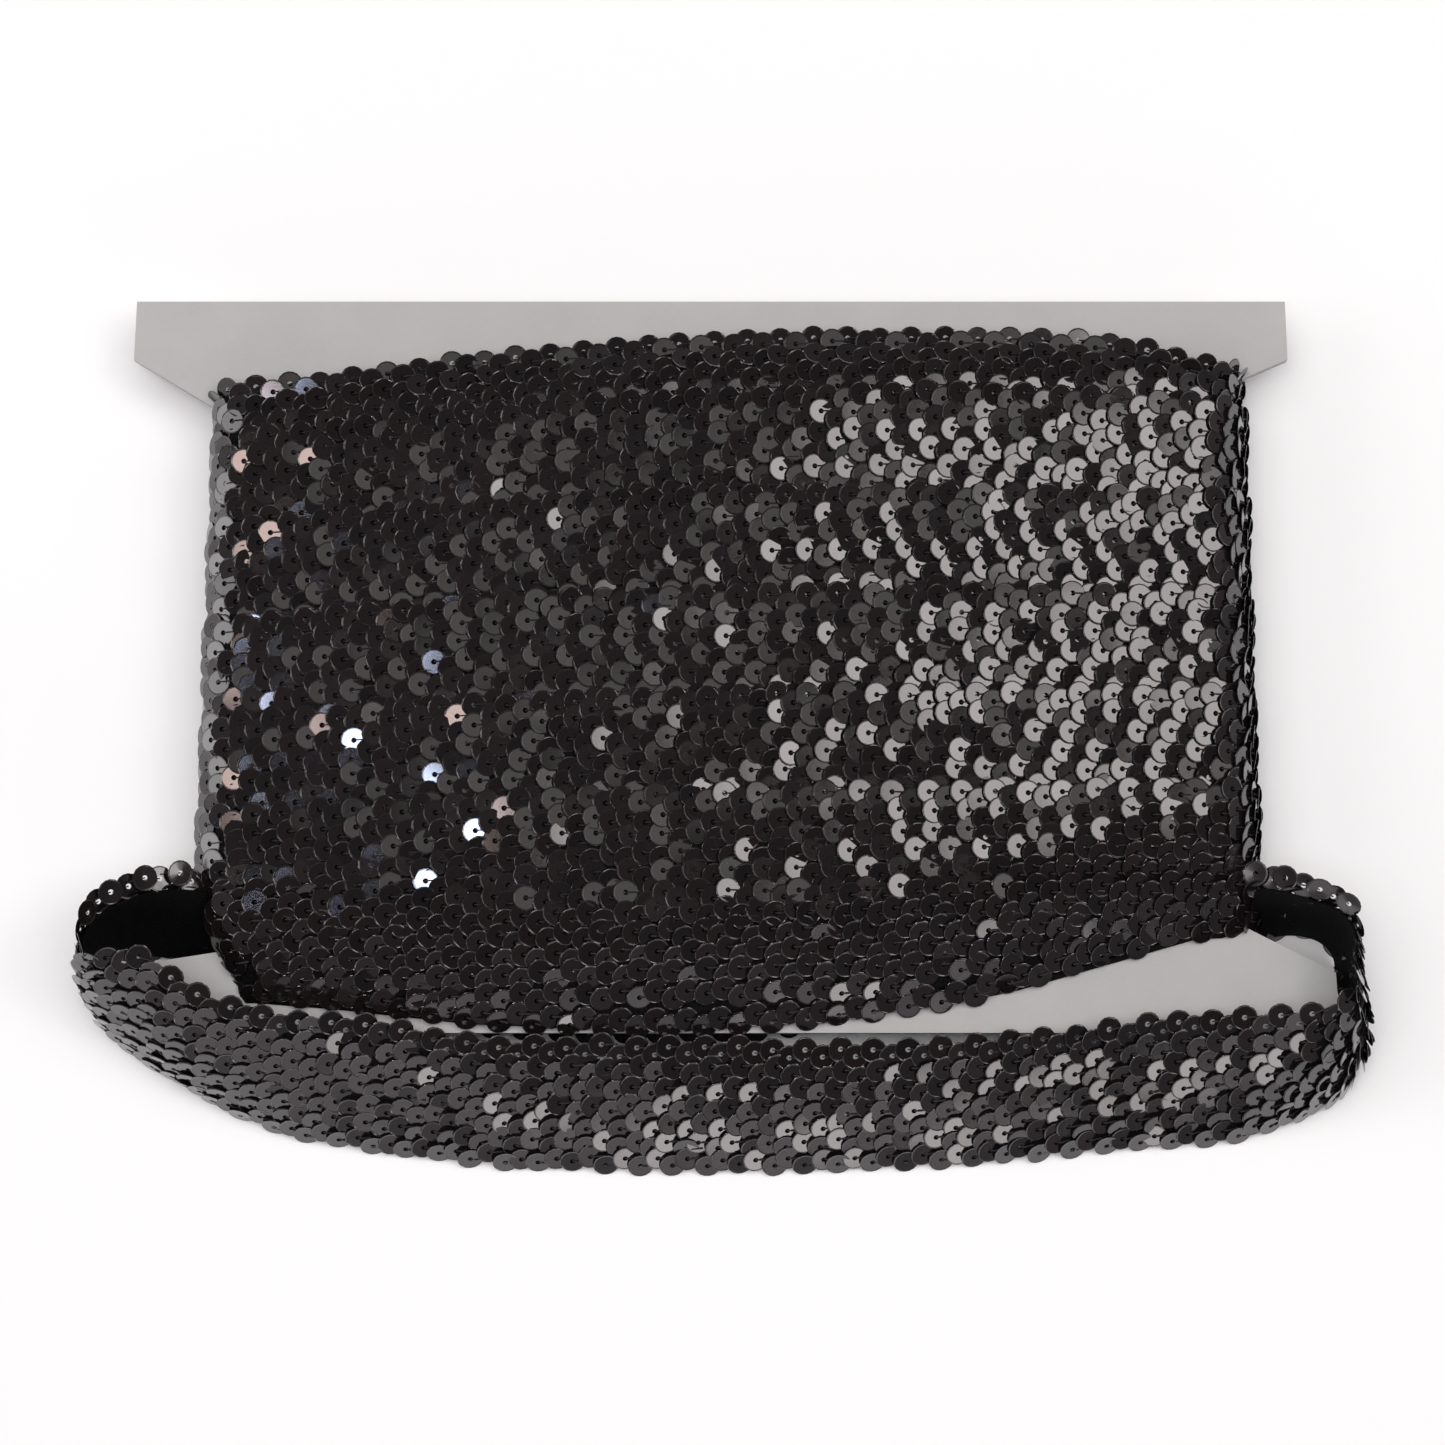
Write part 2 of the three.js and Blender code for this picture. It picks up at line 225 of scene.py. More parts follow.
# Numbers of rows, steps and sides
SLACK_ROWS = 7
SLACK_STEPS = 900
CLOTH_STEPS = (220, 10)
PATH_STEPS = 160
SIDE_STEPS = 28
SEQUIN_SIDES = 16
THREAD_SIDES = 3

# Small steps that directions are read over: across a wound turn in millimetres, and the shares of the slack
# turn's width and length
ROW_STEP = 0.5
SLACK_ACROSS_STEP = 0.02
SLACK_ALONG_STEP = 1e-4

# The least height of a sequin or stitch above the floor
FLOOR_CLEARANCE = 0.1

# The camera's sensor
SENSOR_WIDTH = 36.0


class SequinSizes(bpy.types.PropertyGroup):
    """Sizes of the sequins and of the way that they are sewn"""

    diameter: FloatProperty(
        name="Diameter", description="Across one sequin", default=6.2 * MM, unit="LENGTH")
    hole: FloatProperty(
        name="Hole", description="Across the hole in the middle", default=1.3 * MM, unit="LENGTH")
    thickness: FloatProperty(
        name="Thickness", description="Of the sequin at its hole", default=0.2 * MM, unit="LENGTH")
    rim: FloatProperty(
        name="Rim", description="Width of the rounded rim", default=0.13 * MM, unit="LENGTH")
    row_pitch: FloatProperty(
        name="Row pitch", description="From one row to the next", default=4.45 * MM, unit="LENGTH")
    stitch_pitch: FloatProperty(
        name="Stitch pitch", description="From one sequin to the next in a row",
        default=4.0 * MM, unit="LENGTH")
    zigzag: FloatProperty(
        name="Zigzag", description="How far sequins step up and down in a row",
        default=0.9 * MM, unit="LENGTH")
    thread: FloatProperty(
        name="Thread", description="Diameter of the sewing thread", default=0.42 * MM, unit="LENGTH")
    forward_tilt: FloatProperty(
        name="Forward tilt", description="How far a sequin leans along its row", default=math.radians(10.0),
        subtype="ANGLE")
    downward_tilt: FloatProperty(
        name="Downward tilt", description="How far a sequin leans to the next row",
        default=math.radians(4.0), subtype="ANGLE")
    pair_tilt: FloatProperty(
        name="Pair tilt", description="How far the two sequins of a zigzag lean apart",
        default=math.radians(3.2), subtype="ANGLE")
    wave_tilt: FloatProperty(
        name="Wave tilt", description="How far the cloth's waves turn whole groups",
        default=math.radians(3.0), subtype="ANGLE")
    loose_tilt: FloatProperty(
        name="Loose tilt", description="How unevenly single sequins hang", default=math.radians(1.9),
        subtype="ANGLE")


class TrimColours(bpy.types.PropertyGroup):
    """Colours of the card, the sequins, the thread and the cloth"""

    card: FloatVectorProperty(
        name="Card", description="Grey board of the card", subtype="COLOR", default=(0.44, 0.43, 0.43))
    sequin: FloatVectorProperty(
        name="Sequin", description="Black film of the sequins", subtype="COLOR",
        default=(0.0060, 0.0047, 0.0050))
    rim: FloatVectorProperty(
        name="Rim", description="Cut rim of the sequins", subtype="COLOR", default=(0.016, 0.015, 0.016))
    thread: FloatVectorProperty(
        name="Thread", description="Sewing thread", subtype="COLOR", default=(0.006, 0.006, 0.007))
    cloth: FloatVectorProperty(
        name="Mesh cloth", description="Stretch mesh that carries the sequins", subtype="COLOR",
        default=(0.0036, 0.0033, 0.0035))
    floor: FloatVectorProperty(
        name="Floor", description="Plain floor", subtype="COLOR", default=(0.93, 0.93, 0.93))


class StudioSizes(bpy.types.PropertyGroup):
    """Places and powers of the camera and lights"""

    camera_distance: FloatProperty(
        name="Camera distance", description="From the camera to the card", default=0.8, unit="LENGTH")
    camera_tilt: FloatProperty(
        name="Camera tilt", description="How far the camera leans to the card's foot",
        default=math.radians(10.0), subtype="ANGLE")
    photo_scale: FloatProperty(
        name="Photo scale", description="Size that one point of the picture shows at the card's middle",
        default=0.245 * MM, unit="LENGTH")
    photo_points: IntProperty(
        name="Picture width", description="Points across the square picture", default=1445)
    world_light: FloatProperty(
        name="Room light", description="Strength of the light from all round", default=0.75)


# Curves and places

def smoothly(places, values, x):
    """Values between the rows of a table, along a smooth curve."""
    places = np.asarray(places, float)
    values = np.asarray(values, float)
    x = np.asarray(x, float)
    last = len(places) - 1
    i = np.clip(np.searchsorted(places, x, side="left") - 1, 0, last - 1)
    t = np.clip((x - places[i]) / (places[i + 1] - places[i]), 0, 1)
    slope_in = (values[i + 1] - values[np.maximum(i - 1, 0)]) / 2
    slope_out = (values[np.minimum(i + 2, last)] - values[i]) / 2
    return (
        (2 * t**3 - 3 * t**2 + 1) * values[i] + (t**3 - 2 * t**2 + t) * slope_in
        + (3 * t**2 - 2 * t**3) * values[i + 1] + (t**3 - t**2) * slope_out
    )


def curve_through(points, shares):
    """Points on a curve that passes through given points without loops at close ones."""
    points = np.asarray(points, float)
    before = 2 * points[0] - points[1]
    after = 2 * points[-1] - points[-2]
    around = np.vstack([before, points, after])
    place = np.asarray(shares) * (len(points) - 1)
    i = np.clip(np.floor(place).astype(int), 0, len(points) - 2)
    w = (place - i)[:, None]
    p0, p1, p2, p3 = (around[i + k] for k in range(4))
    spans = [np.sqrt(np.linalg.norm(b - a, axis=1))[:, None] for a, b in ((p0, p1), (p1, p2), (p2, p3))]
    d0, d1, d2 = spans
    start = ((p1 - p0) / d0 - (p2 - p0) / (d0 + d1) + (p2 - p1) / d1) * d1
    end = ((p2 - p1) / d1 - (p3 - p1) / (d1 + d2) + (p3 - p2) / d2) * d1
    return (
        p1 + start * w + (3 * (p2 - p1) - 2 * start - end) * w**2
        + (2 * (p1 - p2) + start + end) * w**3
    )


def seam_y(turn, x):
    """The edge of a wound turn at a place across the face."""
    return smoothly(SEAM_X, SEAMS[turn], x)


def face_height(x, y, lift):
    """The height of the wound form's face, which falls away at its upper edge and at its foot."""
    from_top = seam_y(0, x) - y
    from_foot = y - seam_y(TURNS, x)
    lower_top = TOP_DROP * np.maximum(0, 1 - from_top / TOP_FALL) ** TOP_ROUNDNESS
    lower_foot = FOOT_DROP * np.maximum(0, 1 - from_foot / FOOT_FALL) ** FOOT_ROUNDNESS
    across = x / SEAM_X[-1]
    return WOUND_THICKNESS + CROWN_RISE * (1 - across * across) + lift - lower_top - lower_foot


def wound_path(turn, distance, from_foot=False):
    """One row's way round the wound form, from the left of its face, and where the row shows."""
    face = np.linspace(0, 1, PATH_STEPS)
    turned = np.linspace(0, math.pi, SIDE_STEPS)[1:-1]
    shares = np.concatenate([face, np.ones(len(turned)), face[::-1], np.zeros(len(turned))])
    nominal_x = SEAM_X[0] + shares * (SEAM_X[-1] - SEAM_X[0])
    upper = seam_y(turn, nominal_x)
    width = upper - seam_y(turn + 1, nominal_x)
    if from_foot:
        distance = width - distance
    y = upper - distance
    lift = np.interp(distance / width, RIDE_SHARE, RIDE_LIFT)
    left = np.interp(y, SIDE_Y, SIDE_LEFT) - lift * SIDE_LIFT + ROW_INSET
    right = np.interp(y, SIDE_Y, SIDE_RIGHT) + lift * SIDE_LIFT - ROW_INSET
    inner_left = left + SIDE_DEPTH
    inner_right = right - SIDE_DEPTH
    x = inner_left + shares * (inner_right - inner_left)
    top = face_height(x, y, lift) - ROW_INSET
    z = np.full(len(x), BACK_ROW_Z)
    z[:PATH_STEPS] = top[:PATH_STEPS]
    middle = (top + BACK_ROW_Z) / 2
    half = (top - BACK_ROW_Z) / 2
    first = slice(PATH_STEPS, PATH_STEPS + len(turned))
    x[first] = inner_right[first] + SIDE_DEPTH * np.sin(turned)
    z[first] = middle[first] + half[first] * np.cos(turned)
    second = slice(2 * PATH_STEPS + len(turned), None)
    x[second] = inner_left[second] - SIDE_DEPTH * np.sin(turned)
    z[second] = middle[second] - half[second] * np.cos(turned)
    return np.stack([x, y, z], 1), distance <= width + TURN_OVERRUN


def slack_place(along, across):
    """Points of the slack turn's cloth at shares along it and across it, and the way that it faces."""
    table = {name: SLACK[:, c] for c, name in enumerate(SLACK_COLUMNS)}
    floor_points = np.stack([table["floor_x"], table["floor_y"], np.full(len(SLACK), FLOOR_EDGE_Z)], 1)
    raised_points = np.stack([table["raised_x"], table["raised_y"], table["raised_z"]], 1)
    low = curve_through(floor_points, along)
    high = curve_through(raised_points, along)
    after = np.minimum(along + SLACK_ALONG_STEP, 1)
    before = np.maximum(along - SLACK_ALONG_STEP, 0)
    low_ahead = curve_through(floor_points, after) - curve_through(floor_points, before)
    high_ahead = curve_through(raised_points, after) - curve_through(raised_points, before)
    ahead = unit(unit(low_ahead) + unit(high_ahead))
    rise = high - low
    outward = unit(np.cross(ahead, rise))
    bow = smoothly(range(len(SLACK)), table["bow"], along * (len(SLACK) - 1))
    bulge = bow * 4 * across * (1 - across)
    return low + rise * across[:, None] + outward * bulge[:, None], outward


def unit(vectors):
    """The same directions with a length of one."""
    return vectors / np.linalg.norm(vectors, axis=-1, keepdims=True)


def to_metres(points):
    """Points of the drawing, in the frame's place and in metres."""
    return (points + DRAWING_PLACE) * MM


# Rows of sequins

def row_frames(path, down_path, closed):
    """For each point of a row's path: the way along the row, the way to the next row and the way out."""
    ahead = np.roll(path, -1, 0) - np.roll(path, 1, 0)
    if not closed:
        ahead[0] = path[1] - path[0]
        ahead[-1] = path[-1] - path[-2]
    ahead = unit(ahead)
    down = down_path - path
    out = unit(np.cross(down, ahead))
    down = unit(np.cross(ahead, out))
    return ahead, down, out


def lay_row(path, down_path, shown, closed, sizes, random, lean=(0.0, 0.0)):
    """The places and turns of one row's sequins, sewn evenly along its path, with any further lean."""
    ahead, down, out = row_frames(path, down_path, closed)
    lean_ahead, lean_down = (np.broadcast_to(part, len(path)) for part in lean)
    if closed:
        path, ahead, down, out = (np.vstack([a, a[:1]]) for a in (path, ahead, down, out))
        shown, lean_ahead, lean_down = (np.append(a, a[0]) for a in (shown, lean_ahead, lean_down))
    lengths = np.linalg.norm(np.diff(path, axis=0), axis=1)
    travelled = np.concatenate([[0], np.cumsum(lengths)])
    pitch = sizes.stitch_pitch / MM
    count = max(2, round(travelled[-1] / pitch))
    start = random.uniform(0, 2)
    stitches = (np.arange(-1, count - 1) + start) * travelled[-1] / count
    stitches = np.clip(stitches + random.normal(0, SEWING_SPREAD, count), 0, travelled[-1])
    at = [np.interp(stitches, travelled, column) for column in np.hstack([path, ahead, down, out]).T]
    at = np.stack(at, 1)
    centre, ahead, down, out = at[:, :3], unit(at[:, 3:6]), unit(at[:, 6:9]), unit(at[:, 9:])
    kept = np.interp(stitches, travelled, shown.astype(float)) > 0.5
    pair = np.where(np.arange(count) % 2 == 0, -1.0, 1.0)
    side_step = pair * sizes.zigzag / MM + random.normal(0, SEWING_SPREAD, count)
    centre = centre + down * side_step[:, None]
    forward_wave, down_wave = waves(stitches, random), waves(stitches, random)
    loose = random.normal(0, sizes.loose_tilt, (2, count))
    askew = random.uniform(0, 1, count) < ASKEW_SHARE
    loose[:, askew] *= ASKEW_TIMES
    forward = sizes.forward_tilt - pair * sizes.pair_tilt * PAIR_FORWARD
    forward = forward + forward_wave * sizes.wave_tilt + loose[0]
    downward = sizes.downward_tilt + pair * sizes.pair_tilt + down_wave * sizes.wave_tilt + loose[1]
    forward = forward + np.interp(stitches, travelled, lean_ahead)
    downward = downward + np.interp(stitches, travelled, lean_down)
    normal = unit(out + ahead * np.tan(forward)[:, None] + down * np.tan(downward)[:, None])
    along = unit(ahead - normal * np.sum(ahead * normal, 1)[:, None])
    across = np.cross(normal, along)
    turns = np.stack([along, across, normal], 2)
    return centre[kept], turns[kept]


def waves(travelled, random):
    """A slow uneven swing between about -1 and 1 along a row."""
    total = np.zeros(len(travelled))
    for length in WAVE_LENGTHS:
        wave = np.sin(2 * math.pi * (travelled / length + random.uniform(0, 1)))
        total += wave * random.uniform(0.4, 1.0)
    return total / WAVE_PEAK


# Modelling

def deselect_all():
    """Leaves edit mode and selects nothing."""
    if bpy.context.object and bpy.context.object.mode != "OBJECT":
        bpy.ops.object.mode_set(mode="OBJECT")
    bpy.ops.object.select_all(action="DESELECT")


def only(obj):
    """Selects one piece and nothing else."""
    deselect_all()
    obj.select_set(True)
    bpy.context.view_layer.objects.active = obj


def model_sequin(sizes):
    """One flat sequin with a hole, a rounded rim and a thin outer edge, modelled once for all."""
    deselect_all()
    radius = sizes.diameter / 2
    hole = sizes.hole / 2
    bpy.ops.mesh.primitive_circle_add(vertices=SEQUIN_SIDES, radius=hole, fill_type="NOTHING")
    sequin = bpy.context.object
    flat_radius = radius - sizes.rim
    rim_drop = sizes.thickness * 0.4
    bpy.ops.object.mode_set(mode="EDIT")
    bpy.ops.mesh.select_all(action="SELECT")
    extrude_ring(flat_radius / hole, 0)
    extrude_ring(radius / flat_radius, -rim_drop)
    extrude_ring(hole / radius, rim_drop - sizes.thickness)
    bpy.ops.mesh.select_all(action="DESELECT")
    bpy.ops.mesh.select_non_manifold()
    bpy.ops.mesh.bridge_edge_loops()
    bpy.ops.mesh.select_all(action="SELECT")
    bpy.ops.mesh.normals_make_consistent(inside=False)
    bpy.ops.object.mode_set(mode="OBJECT")
    return taken_shape(sequin)


def extrude_ring(scale, rise):
    """One more ring of faces from the selected edge, wider or narrower and at another height."""
    bpy.ops.mesh.extrude_edges_move()
    bpy.ops.transform.resize(value=(scale, scale, 1), center_override=(0, 0, 0))
    bpy.ops.transform.translate(value=(0, 0, rise))


def model_stitch(sizes):
    """One visible stitch: a thread that comes up through the hole and dives under the next sequin."""
    deselect_all()
    reach = sizes.stitch_pitch / 2
    knee = -reach * 0.45
    shares = [0, 0.27, 1]
    heights = [-0.25 * MM, sizes.thread * 0.45, sizes.thread * 0.1]
    bpy.ops.mesh.primitive_cylinder_add(
        vertices=THREAD_SIDES, radius=sizes.thread / 2, depth=reach * 2, rotation=(0, math.pi / 2, 0))
    stitch = bpy.context.object
    bpy.ops.object.transform_apply(location=True, rotation=True, scale=True)
    bpy.ops.object.mode_set(mode="EDIT")
    bpy.ops.mesh.select_all(action="SELECT")
    bpy.ops.mesh.bisect(plane_co=(knee, 0, 0), plane_no=(1, 0, 0))
    bpy.ops.mesh.select_all(action="SELECT")
    bpy.ops.mesh.normals_make_consistent(inside=False)
    bpy.ops.object.mode_set(mode="OBJECT")
    for vertex in stitch.data.vertices:
        place = (vertex.co.x + reach) / (2 * reach)
        vertex.co.z += np.interp(place, shares, heights)
        vertex.co.x += reach
    return taken_shape(stitch)


def taken_shape(obj):
    """The points and faces of a modelled pattern piece, which is then put away."""
    mesh = obj.data
    points = np.array([v.co[:] for v in mesh.vertices])
    faces = [tuple(p.vertices) for p in mesh.polygons]
    bpy.data.objects.remove(obj)
    bpy.data.meshes.remove(mesh)
    return points, faces


def joined_copies(name, shape, centres, turns, bends, random, material):
    """One mesh that holds a copy of the shape at every place, each with its own turn, bend and tone."""
    points, faces = shape
    count = len(centres)
    spin = random.uniform(0, 2 * math.pi, count) if bends is not None else np.zeros(count)
    cos, sin = np.cos(spin)[:, None], np.sin(spin)[:, None]
    local = np.empty((count, len(points), 3))
    local[:, :, 0] = points[:, 0] * cos - points[:, 1] * sin
    local[:, :, 1] = points[:, 0] * sin + points[:, 1] * cos
    local[:, :, 2] = points[:, 2]
    if bends is not None:
        bend_way = random.uniform(0, math.pi, count)[:, None]
        reach = local[:, :, 0] * np.cos(bend_way) + local[:, :, 1] * np.sin(bend_way)
        local[:, :, 2] += bends[:, None] / MM * reach**2
    placed = np.einsum("nij,nvj->nvi", turns, local) + centres[:, None, :]
    lowest = placed[:, :, 2].min(1)
    placed[:, :, 2] += np.maximum(0, FLOOR_CLEARANCE * MM - lowest)[:, None]
    mesh = bpy.data.meshes.new(name)
    corners = [[c + k * len(points) for c in face] for k in range(count) for face in faces]
    mesh.from_pydata(placed.reshape(-1, 3), [], corners)
    tone = np.repeat(random.uniform(0, 1, count), len(points))
    disc = mesh.attributes.new("disc", "FLOAT_VECTOR", "POINT")
    size = np.abs(points[:, :2]).max()
    flat = np.tile(points / size, (count, 1))
    flat[:, 2] = tone
    disc.data.foreach_set("vector", flat.ravel())
    obj = bpy.data.objects.new(name, mesh)
    bpy.context.scene.collection.objects.link(obj)
    only(obj)
    bpy.ops.object.shade_smooth_by_angle(angle=math.radians(16))
    mesh.materials.append(material)
    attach(obj, "root")


# Materials

def new_material(name):
    """A new material, its nodes, its links and its shader."""
    material = bpy.data.materials.new(name)
    material.use_nodes = True
    nodes = material.node_tree.nodes
    links = material.node_tree.links
    return material, nodes, links, nodes["Principled BSDF"]


def math_node(nodes, links, operation, first, second=None):
    """A calculation with one or two values, each a number or a socket."""
    node = nodes.new("ShaderNodeMath")
    node.operation = operation
    for socket, value in zip(node.inputs, (first, second)):
        if value is None:
            continue
        if isinstance(value, (int, float)):
            socket.default_value = value
        else:
            links.new(value, socket)
    return node.outputs[0]


def range_node(nodes, links, value, given, made=(0.0, 1.0), interpolation="LINEAR"):
    """A value of one range turned into the matching value of another."""
    node = nodes.new("ShaderNodeMapRange")
    node.interpolation_type = interpolation
    for name, number in zip(("From Min", "From Max", "To Min", "To Max"), (*given, *made)):
        node.inputs[name].default_value = number
    links.new(value, node.inputs["Value"])
    return node.outputs[0]


def colour_mix(nodes, links, share, first, second):
    """A colour between two others, each a colour or a socket."""
    node = nodes.new("ShaderNodeMix")
    node.data_type = "RGBA"
    links.new(share, node.inputs["Factor"])
    for socket, value in ((node.inputs[6], first), (node.inputs[7], second)):
        if hasattr(value, "is_linked"):
            links.new(value, socket)
        else:
            socket.default_value = (*value, 1)
    return node.outputs[2]


def noise_node(nodes, links, vector, scale, detail=3.0, roughness=0.5):
    node = nodes.new("ShaderNodeTexNoise")
    node.inputs["Scale"].default_value = scale
    node.inputs["Detail"].default_value = detail
    node.inputs["Roughness"].default_value = roughness
    links.new(vector, node.inputs["Vector"])
    return node.outputs["Fac"]


def bump_node(nodes, links, height, strength, distance, shader):
    node = nodes.new("ShaderNodeBump")
    node.inputs["Strength"].default_value = strength
    node.inputs["Distance"].default_value = distance
    links.new(height, node.inputs["Height"])
    links.new(node.outputs["Normal"], shader.inputs["Normal"])


def sequin_film(colours):
    """Glossy black film with fine streaks round the hole, a paler cut rim and a tone for each sequin."""
    material, nodes, links, shader = new_material("sequin_film")
    disc = nodes.new("ShaderNodeAttribute")
    disc.attribute_name = "disc"
    parts = nodes.new("ShaderNodeSeparateXYZ")
    links.new(disc.outputs["Vector"], parts.inputs[0])
    x, y, tone = parts.outputs
    x_squared = math_node(nodes, links, "MULTIPLY", x, x)
    y_squared = math_node(nodes, links, "MULTIPLY", y, y)
    radius = math_node(nodes, links, "SQRT", math_node(nodes, links, "ADD", x_squared, y_squared))
    angle = math_node(nodes, links, "ARCTAN2", y, x)
    streak_place = nodes.new("ShaderNodeCombineXYZ")
    links.new(math_node(nodes, links, "MULTIPLY", angle, 2.2), streak_place.inputs[0])
    links.new(math_node(nodes, links, "MULTIPLY", radius, 0.8), streak_place.inputs[1])
    links.new(math_node(nodes, links, "MULTIPLY", tone, 90.0), streak_place.inputs[2])
    streaks = noise_node(nodes, links, streak_place.outputs[0], 1.7, 1.0)
    warm = tuple(c * f for c, f in zip(colours.sequin, (1.8, 1.6, 1.5)))
    film = colour_mix(nodes, links, tone, colours.sequin, warm)
    rim = range_node(nodes, links, radius, (0.93, 0.99))
    links.new(colour_mix(nodes, links, rim, film, colours.rim), shader.inputs["Base Color"])
    rough = range_node(nodes, links, streaks, (0.0, 1.0), (0.08, 0.14))
    links.new(rough, shader.inputs["Roughness"])
    shader.inputs["IOR"].default_value = 1.75
    shader.inputs["Coat Weight"].default_value = 0.5
    shader.inputs["Coat Roughness"].default_value = 0.06
    curl = range_node(nodes, links, radius, (0.86, 0.97), interpolation="SMOOTHSTEP")
    faint = math_node(nodes, links, "MULTIPLY", streaks, 0.008)
    bump_node(nodes, links, math_node(nodes, links, "ADD", faint, curl), 1.0, 0.1 * MM, shader)
    return material


def mesh_cloth(colours, by_map):
    """Black stretch mesh: fine threads round small dark holes, one in every 1.1 mm of a 420 by 33 mm map."""
    material, nodes, links, shader = new_material("mesh_cloth" if by_map else "mesh_cloth_wound")
    place = nodes.new("ShaderNodeTexCoord")
    mapping = nodes.new("ShaderNodeMapping")
    links.new(place.outputs["UV" if by_map else "Object"], mapping.inputs["Vector"])
    if by_map:
        mapping.inputs["Scale"].default_value = (420 / 1.1, 33 / 1.1, 1)
    else:
        mapping.inputs["Scale"].default_value = (900, 900, 900)
    holes = nodes.new("ShaderNodeTexVoronoi")
    holes.inputs["Scale"].default_value = 1.0
    holes.inputs["Randomness"].default_value = 0.35
    links.new(mapping.outputs[0], holes.inputs["Vector"])
    thread = range_node(nodes, links, holes.outputs["Distance"], (0.25, 0.5))
    dark = tuple(c * 0.25 for c in colours.cloth)
    links.new(colour_mix(nodes, links, thread, dark, colours.cloth), shader.inputs["Base Color"])
    shader.inputs["Roughness"].default_value = 0.85
    shader.inputs["Specular IOR Level"].default_value = 0.2
    bump_node(nodes, links, thread, 0.6, 0.2 * MM, shader)
    return material


def sewing_thread(colours):
    """Black sewing thread with its fine twist."""
    material, nodes, links, shader = new_material("sewing_thread")
    place = nodes.new("ShaderNodeTexCoord")
    twist = noise_node(nodes, links, place.outputs["Object"], 5200, 2.0)
    pale = tuple(c * 3 for c in colours.thread)
    links.new(colour_mix(nodes, links, twist, colours.thread, pale), shader.inputs["Base Color"])
    shader.inputs["Roughness"].default_value = 0.6
    bump_node(nodes, links, twist, 0.4, 0.06 * MM, shader)
    return material


def card_board(colours):
    """Grey board: mottled pulp, fine fibres and a faint unevenness of its face."""
    material, nodes, links, shader = new_material("card_board")
    place = nodes.new("ShaderNodeTexCoord")
    pulp = noise_node(nodes, links, place.outputs["Object"], 60, 5.0, 0.6)
    stretched = nodes.new("ShaderNodeMapping")
    stretched.inputs["Scale"].default_value = (700, 3400, 3400)
    links.new(place.outputs["Object"], stretched.inputs["Vector"])
    fibres = noise_node(nodes, links, stretched.outputs[0], 1.0, 3.0, 0.6)
    much_pulp = math_node(nodes, links, "MULTIPLY", pulp, 0.6)
    some_fibres = math_node(nodes, links, "MULTIPLY", fibres, 0.4)
    both = math_node(nodes, links, "ADD", much_pulp, some_fibres)
    spread = range_node(nodes, links, both, (0.3, 0.7))
    darker = tuple(c * 0.93 for c in colours.card)
    paler = tuple(min(1, c * 1.05) for c in colours.card)
    links.new(colour_mix(nodes, links, spread, darker, paler), shader.inputs["Base Color"])
    shader.inputs["Roughness"].default_value = 0.85
    bump_node(nodes, links, fibres, 0.25, 0.1 * MM, shader)
    return material


def floor_paint(colours):
    """Plain pale paint, hardly cloudy."""
    material, nodes, links, shader = new_material("studio_floor")
    place = nodes.new("ShaderNodeTexCoord")
    cloudy = noise_node(nodes, links, place.outputs["Object"], 3, 2.0)
    darker = tuple(c * 0.985 for c in colours.floor)
    links.new(colour_mix(nodes, links, cloudy, darker, colours.floor), shader.inputs["Base Color"])
    shader.inputs["Roughness"].default_value = 0.9
    return material


def shared_material(name, make):
    """The material of that name, made only once."""
    return bpy.data.materials.get(name) or make()


# Operators

